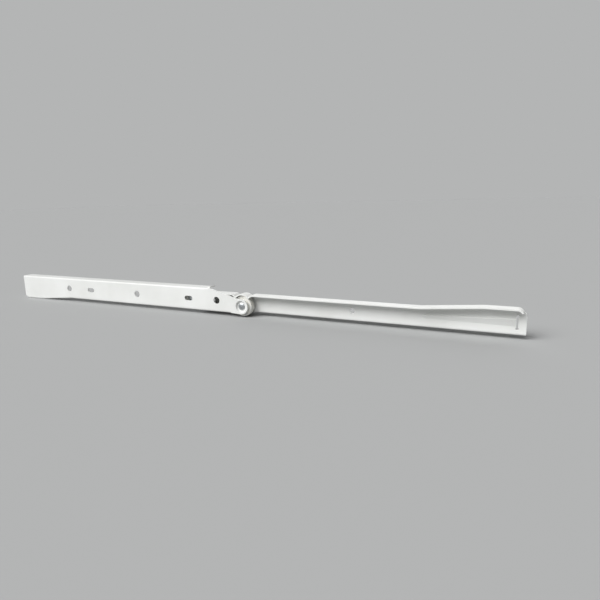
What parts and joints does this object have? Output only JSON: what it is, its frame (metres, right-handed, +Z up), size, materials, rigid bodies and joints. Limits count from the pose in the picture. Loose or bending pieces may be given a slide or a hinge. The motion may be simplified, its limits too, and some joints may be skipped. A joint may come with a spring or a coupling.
{
  "type": "roller drawer slide",
  "caption": "Left-hand single-extension roller drawer slide: rolled steel cabinet and drawer members, each with a nylon roller on a rivet, drawn open.",
  "frame": {"origin": "centre of the cabinet member's three screw holes, on its mounting face and level with the rear roller's axis", "axes": "+X pulls the drawer out, +Y runs from the cabinet side to the drawer side, +Z up"},
  "size_m": [0.5259, 0.0243, 0.027],
  "materials": {
    "powder_coat": "smooth white powder coat, semi-gloss",
    "nylon": "moulded white nylon, satin",
    "zinc": "bright zinc plate"
  },
  "bodies": {
    "cabinet_member": {"cabinet_profile": "powder_coat", "front_roller_axle": "zinc"},
    "front_roller": {"front_roller": "nylon"},
    "drawer_member": {"drawer_profile": "powder_coat", "rear_roller_axle": "zinc"},
    "rear_roller": {"rear_roller": "nylon"}
  },
  "joints": [
    {"name": "drawer_travel", "type": "slide", "parent": "cabinet_member", "child": "drawer_member", "axis": [1, 0, 0], "range_m": [-0.2148, 0]},
    {"name": "rear_roller_spin", "type": "hinge", "parent": "drawer_member", "child": "rear_roller", "pos_m": [0.0658, 0.0113, 0], "axis": [0, 1, 0], "continuous": true},
    {"name": "front_roller_spin", "type": "hinge", "parent": "cabinet_member", "child": "front_roller", "pos_m": [0.1221, 0.0012, -0.0042], "axis": [0, 1, 0], "continuous": true}
  ],
  "couplings": [
    {"joint": "rear_roller_spin", "follows": "drawer_travel", "rad_per_m": 108.11},
    {"joint": "front_roller_spin", "follows": "drawer_travel", "rad_per_m": 108.11}
  ]
}
